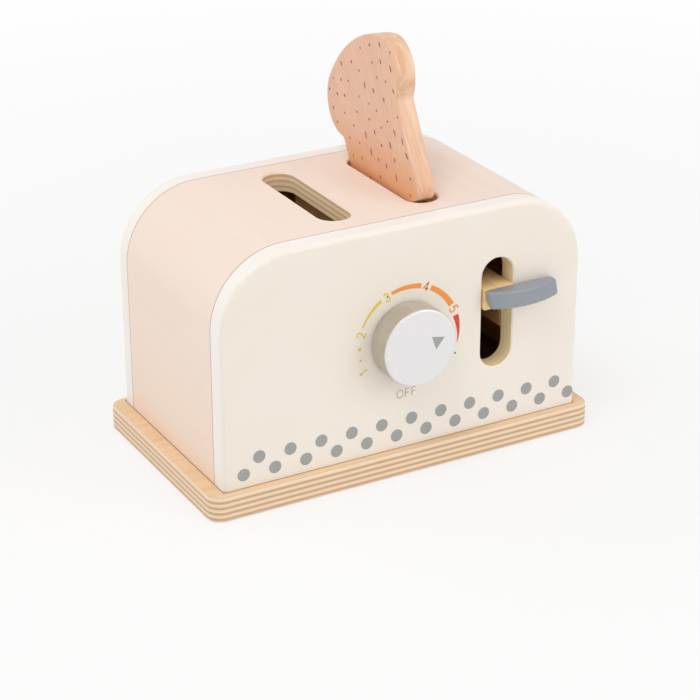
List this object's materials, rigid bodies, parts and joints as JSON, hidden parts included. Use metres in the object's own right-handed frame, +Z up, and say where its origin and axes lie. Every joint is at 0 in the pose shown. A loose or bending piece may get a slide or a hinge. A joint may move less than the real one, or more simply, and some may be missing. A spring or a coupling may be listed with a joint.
{
  "type": "toy toaster",
  "caption": "Wooden play-kitchen toaster: arched housing on a base board, top bread slots, push-down lever with return springs, turning knob and a leaning bread slice",
  "frame": {"origin": "bottom centre of the base board, on the surface it rests on", "axes": "+X to the right along the front panel, +Y to the back, +Z up"},
  "size_m": [0.203, 0.124, 0.1909],
  "materials": {
    "ply_base": "satin",
    "cream_paint": "satin",
    "ply_cover": "satin",
    "beech": "satin",
    "screw_steel": "brushed",
    "pine": "matt",
    "spring_steel": "brushed",
    "ply_inner": "matt",
    "felt": "matt",
    "grey_paint": "satin",
    "silver_paint": "satin",
    "beech_bread": "satin"
  },
  "bodies": {
    "housing": {"base_board": "ply_base", "front_panel": "cream_paint", "back_panel": "cream_paint", "bent_cover": "ply_cover", "panel_dowels": "beech", "base_screws": "screw_steel", "cleat_left": "pine", "cleat_right": "pine", "guide_bridge": "pine", "guide_rod_front": "beech", "guide_rod_rear": "beech"},
    "lift": {"lift_platform": "ply_inner", "stop_pads": "felt", "lift_arm": "ply_inner", "lift_post": "pine", "lever_neck": "beech", "grip_dowels": "beech", "lever_grip": "grey_paint", "return_spring_front": "spring_steel", "return_spring_rear": "spring_steel"},
    "dial": {"knob": "silver_paint", "knob_washer": "felt", "knob_spindle": "beech", "knob_retainer": "beech"},
    "toast": {"toast_slice": "beech_bread"}
  },
  "joints": [
    {"name": "lever_slide", "type": "slide", "parent": "housing", "child": "lift", "axis": [0, 0, 1], "range_m": [-0.024, 0], "stiffness_N_per_m": 80, "springref_m": 0.02, "deforming": ["return_spring_front", "return_spring_rear"]},
    {"name": "knob_turn", "type": "hinge", "parent": "housing", "child": "dial", "pos_m": [0, -0.055, 0.0675], "axis": [0, -1, 0], "continuous": true},
    {"name": "toast_lift_out", "type": "slide", "parent": "housing", "child": "toast", "axis": [0.0508, 0.5609, 0.8263], "range_m": [0, 0.08]}
  ]
}
